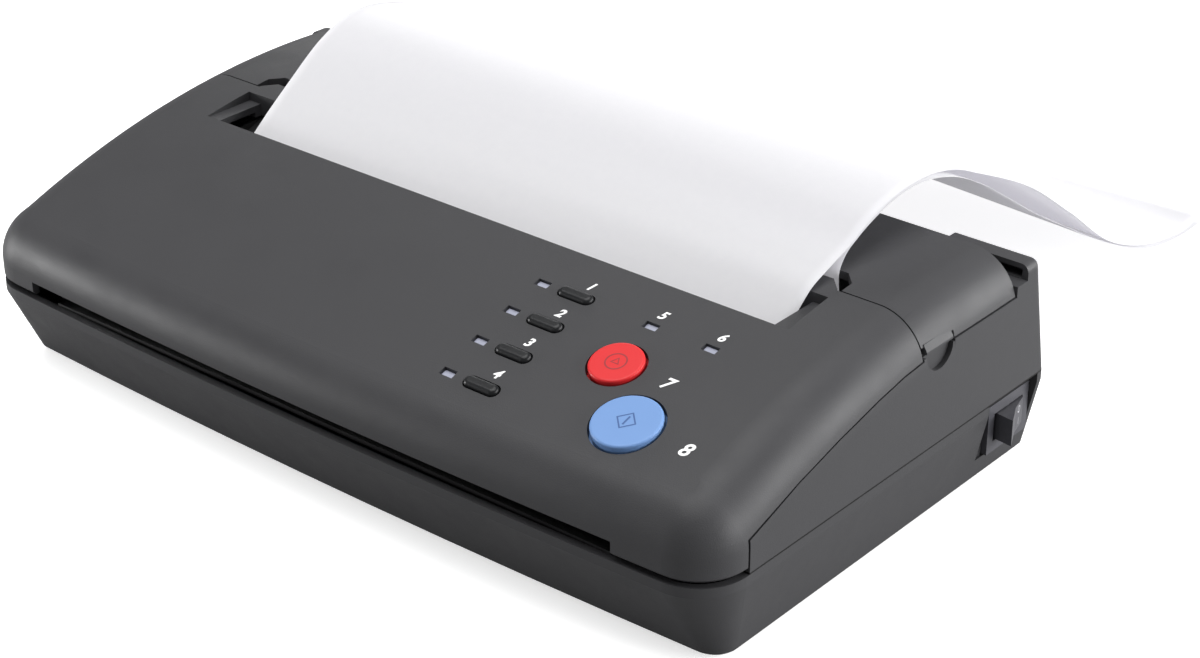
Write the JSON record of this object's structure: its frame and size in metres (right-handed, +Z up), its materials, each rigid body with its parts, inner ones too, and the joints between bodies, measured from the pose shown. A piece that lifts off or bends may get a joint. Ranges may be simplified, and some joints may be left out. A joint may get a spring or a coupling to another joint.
{
  "type": "thermal stencil copier",
  "caption": "Desk-top thermal transfer copier with a tilting control cover, hinged rear lid, push buttons, geared rollers and two loaded paper sheets.",
  "frame": {"origin": "middle of the bounding box's underside, which is the plane of the rubber feet", "axes": "+X to the machine's right as seen from its control panel, -Y towards the user, +Z up"},
  "size_m": [0.2944, 0.332, 0.0935],
  "materials": {
    "case": "moulded ABS, satin charcoal",
    "red_cap": "moulded, satin red",
    "blue_cap": "moulded, satin light blue",
    "key": "moulded, satin black",
    "lens": "moulded, translucent grey",
    "black_plastic": "moulded, matt black",
    "feet": "moulded rubber",
    "roller_rubber": "ground silicone rubber",
    "steel": "turned and plated",
    "plate_steel": "zinc-plated sheet",
    "brass": "turned",
    "gear_plastic": "moulded acetal, natural white",
    "aluminium": "extruded, plain",
    "ceramic": "glazed",
    "glass": "polished",
    "circuit_board": "glass-fibre board with green lacquer",
    "paper": "uncoated white copy paper"
  },
  "bodies": {
    "case": {"base_pan": "case", "casing": "case", "rubber_feet": "feet", "base_screws": "steel", "lid_hinge_pins": "steel", "cover_hinge_pins": "steel", "switch_body": "black_plastic", "switch_terminals": "brass", "power_jack": "black_plastic", "left_chassis_plate": "plate_steel", "right_chassis_plate": "plate_steel", "tie_bar": "steel", "roller_bushes": "brass", "front_idler_axle": "steel", "rear_idler_axle": "steel", "motor_body": "plate_steel", "scan_bar": "black_plastic", "scan_glass": "glass", "document_chute": "black_plastic", "document_guide": "plate_steel", "exit_guide": "black_plastic", "thermal_head": "ceramic", "heat_sink": "aluminium", "head_springs": "steel", "main_board": "circuit_board", "main_board_screws": "steel", "board_parts": "black_plastic", "original_sheet": "paper", "transfer_sheet": "paper"},
    "cover": {"control_cover": "case", "control_board": "circuit_board", "control_board_screws": "steel", "tact_switches": "black_plastic", "indicator_lenses": "lens"},
    "lid": {"rear_lid": "case"},
    "rocker": {"power_rocker": "black_plastic"},
    "stop": {"stop_button": "red_cap"},
    "copy": {"copy_button": "blue_cap"},
    "feed_rotor": {"feed_shaft": "steel", "feed_roller": "roller_rubber", "feed_gear": "gear_plastic"},
    "platen_rotor": {"platen_shaft": "steel", "platen_roller": "roller_rubber", "platen_gear": "gear_plastic"},
    "front_idler": {"front_idler": "gear_plastic"},
    "rear_idler": {"rear_idler": "gear_plastic"},
    "motor_rotor": {"motor_shaft": "steel", "motor_pinion": "brass"},
    "key_1": {"key_1": "key"},
    "key_2": {"key_2": "key"},
    "key_3": {"key_3": "key"},
    "key_4": {"key_4": "key"}
  },
  "joints": [
    {"name": "lid_hinge", "type": "hinge", "parent": "case", "child": "lid", "pos_m": [-0.0018, -0.01351, 0.063], "axis": [-1, 0, 0], "range_deg": [0, 65], "deforming": ["original_sheet", "transfer_sheet"]},
    {"name": "cover_hinge", "type": "hinge", "parent": "case", "child": "cover", "pos_m": [-0.0018, -0.16031, 0.0337], "axis": [1, 0, 0], "range_deg": [0, 45], "deforming": ["original_sheet", "transfer_sheet"]},
    {"name": "rocker_tilt", "type": "hinge", "parent": "case", "child": "rocker", "pos_m": [0.1402, -0.01711, 0.018], "axis": [0, 0, -1], "range_deg": [0, 20]},
    {"name": "platen_spin", "type": "hinge", "parent": "case", "child": "platen_rotor", "pos_m": [-0.0018, -0.07151, 0.0355], "axis": [1, 0, 0], "continuous": true},
    {"name": "front_idler_spin", "type": "hinge", "parent": "case", "child": "front_idler", "pos_m": [-0.0018, -0.0955, 0.0347], "axis": [1, 0, 0], "continuous": true},
    {"name": "feed_spin", "type": "hinge", "parent": "case", "child": "feed_rotor", "pos_m": [-0.0018, -0.11452, 0.04673], "axis": [1, 0, 0], "continuous": true},
    {"name": "rear_idler_spin", "type": "hinge", "parent": "case", "child": "rear_idler", "pos_m": [-0.0018, -0.04852, 0.02448], "axis": [1, 0, 0], "continuous": true},
    {"name": "motor_spin", "type": "hinge", "parent": "case", "child": "motor_rotor", "pos_m": [-0.0018, -0.02954, 0.02], "axis": [1, 0, 0], "continuous": true},
    {"name": "stop_press", "type": "slide", "parent": "cover", "child": "stop", "axis": [0, 0.2763, -0.9611], "range_m": [0, 0.0008], "stiffness_N_per_m": 400, "springref_m": -0.001},
    {"name": "copy_press", "type": "slide", "parent": "cover", "child": "copy", "axis": [0, 0.2763, -0.9611], "range_m": [0, 0.0008], "stiffness_N_per_m": 400, "springref_m": -0.001},
    {"name": "key_1_press", "type": "slide", "parent": "cover", "child": "key_1", "axis": [0, 0.2763, -0.9611], "range_m": [0, 0.0006], "stiffness_N_per_m": 400, "springref_m": -0.001},
    {"name": "key_2_press", "type": "slide", "parent": "cover", "child": "key_2", "axis": [0, 0.2763, -0.9611], "range_m": [0, 0.0006], "stiffness_N_per_m": 400, "springref_m": -0.001},
    {"name": "key_3_press", "type": "slide", "parent": "cover", "child": "key_3", "axis": [0, 0.2763, -0.9611], "range_m": [0, 0.0006], "stiffness_N_per_m": 400, "springref_m": -0.001},
    {"name": "key_4_press", "type": "slide", "parent": "cover", "child": "key_4", "axis": [0, 0.2763, -0.9611], "range_m": [0, 0.0006], "stiffness_N_per_m": 400, "springref_m": -0.001}
  ],
  "couplings": [
    {"joint": "front_idler_spin", "follows": "platen_spin", "ratio": -0.77778},
    {"joint": "feed_spin", "follows": "platen_spin", "ratio": 1.1667},
    {"joint": "rear_idler_spin", "follows": "platen_spin", "ratio": -0.7},
    {"joint": "motor_spin", "follows": "platen_spin", "ratio": 2.3333}
  ]
}
